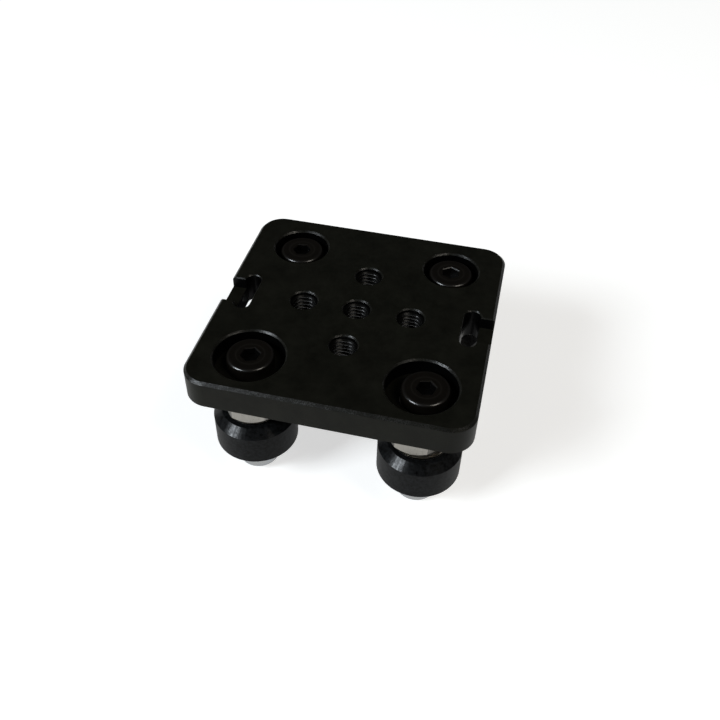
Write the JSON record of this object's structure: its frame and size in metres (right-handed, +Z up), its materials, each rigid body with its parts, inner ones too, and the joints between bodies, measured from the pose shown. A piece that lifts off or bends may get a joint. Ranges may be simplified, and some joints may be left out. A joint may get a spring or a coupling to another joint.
{
  "type": "profile roller carriage",
  "caption": "Square plate carriage that rolls along a grooved aluminium profile on ball-bearing V wheels, with eccentric spacers to set the preload, tapped holes and belt slots.",
  "frame": {"origin": "centre of the plate's top face, where the middle tapped hole opens", "axes": "+X along the profile, +Y across it towards the fixed wheel pair, +Z up out of the plate's top face"},
  "size_m": [0.05, 0.05, 0.0282],
  "materials": {
    "black_anodised_aluminium": "fine bead-blasted, black anodised, edges broken",
    "black_acetal": "turned acetal, satin tread and glossy V faces",
    "bearing_steel": "ground bearing steel",
    "shield_steel": "pressed sheet",
    "shim_steel": "ground shim",
    "black_oxide_steel": "black oxide, lightly oiled",
    "zinc_plated_steel": "bright zinc plate",
    "stainless_steel": "turned and milled, satin",
    "turned_aluminium": "turned, plain",
    "nylon": "natural nylon"
  },
  "bodies": {
    "carriage_plate": {"gantry_plate": "black_anodised_aluminium", "rear_left_bearing_inner_rings": "bearing_steel", "rear_left_bearing_shim": "shim_steel", "rear_left_spacer_shim": "shim_steel", "rear_left_screw": "black_oxide_steel", "rear_left_lock_nut": "zinc_plated_steel", "rear_left_nut_insert": "nylon", "rear_left_spacer": "turned_aluminium", "rear_right_bearing_inner_rings": "bearing_steel", "rear_right_bearing_shim": "shim_steel", "rear_right_spacer_shim": "shim_steel", "rear_right_screw": "black_oxide_steel", "rear_right_lock_nut": "zinc_plated_steel", "rear_right_nut_insert": "nylon", "rear_right_spacer": "turned_aluminium"},
    "rear_left_roller": {"rear_left_wheel": "black_acetal", "rear_left_bearing_outer_rings": "bearing_steel", "rear_left_bearing_balls": "bearing_steel", "rear_left_bearing_shields": "shield_steel"},
    "rear_right_roller": {"rear_right_wheel": "black_acetal", "rear_right_bearing_outer_rings": "bearing_steel", "rear_right_bearing_balls": "bearing_steel", "rear_right_bearing_shields": "shield_steel"},
    "front_left_eccentric": {"front_left_bearing_inner_rings": "bearing_steel", "front_left_bearing_shim": "shim_steel", "front_left_spacer_shim": "shim_steel", "front_left_screw": "black_oxide_steel", "front_left_lock_nut": "zinc_plated_steel", "front_left_nut_insert": "nylon", "front_left_eccentric_spacer": "stainless_steel"},
    "front_left_roller": {"front_left_wheel": "black_acetal", "front_left_bearing_outer_rings": "bearing_steel", "front_left_bearing_balls": "bearing_steel", "front_left_bearing_shields": "shield_steel"},
    "front_right_eccentric": {"front_right_bearing_inner_rings": "bearing_steel", "front_right_bearing_shim": "shim_steel", "front_right_spacer_shim": "shim_steel", "front_right_screw": "black_oxide_steel", "front_right_lock_nut": "zinc_plated_steel", "front_right_nut_insert": "nylon", "front_right_eccentric_spacer": "stainless_steel"},
    "front_right_roller": {"front_right_wheel": "black_acetal", "front_right_bearing_outer_rings": "bearing_steel", "front_right_bearing_balls": "bearing_steel", "front_right_bearing_shields": "shield_steel"}
  },
  "joints": [
    {"name": "rear_left_wheel_spin", "type": "hinge", "parent": "carriage_plate", "child": "rear_left_roller", "pos_m": [-0.015, 0.01593, -0.0175], "axis": [0, 0, 1], "continuous": true},
    {"name": "rear_right_wheel_spin", "type": "hinge", "parent": "carriage_plate", "child": "rear_right_roller", "pos_m": [0.015, 0.01593, -0.0175], "axis": [0, 0, 1], "continuous": true},
    {"name": "front_left_eccentric_turn", "type": "hinge", "parent": "carriage_plate", "child": "front_left_eccentric", "pos_m": [-0.015, -0.0164, -0.006], "axis": [0, 0, 1], "continuous": true},
    {"name": "front_left_wheel_spin", "type": "hinge", "parent": "front_left_eccentric", "child": "front_left_roller", "pos_m": [-0.01511, -0.01562, -0.0175], "axis": [0, 0, 1], "continuous": true},
    {"name": "front_right_eccentric_turn", "type": "hinge", "parent": "carriage_plate", "child": "front_right_eccentric", "pos_m": [0.015, -0.0164, -0.006], "axis": [0, 0, 1], "continuous": true},
    {"name": "front_right_wheel_spin", "type": "hinge", "parent": "front_right_eccentric", "child": "front_right_roller", "pos_m": [0.0157, -0.01604, -0.0175], "axis": [0, 0, 1], "continuous": true}
  ]
}
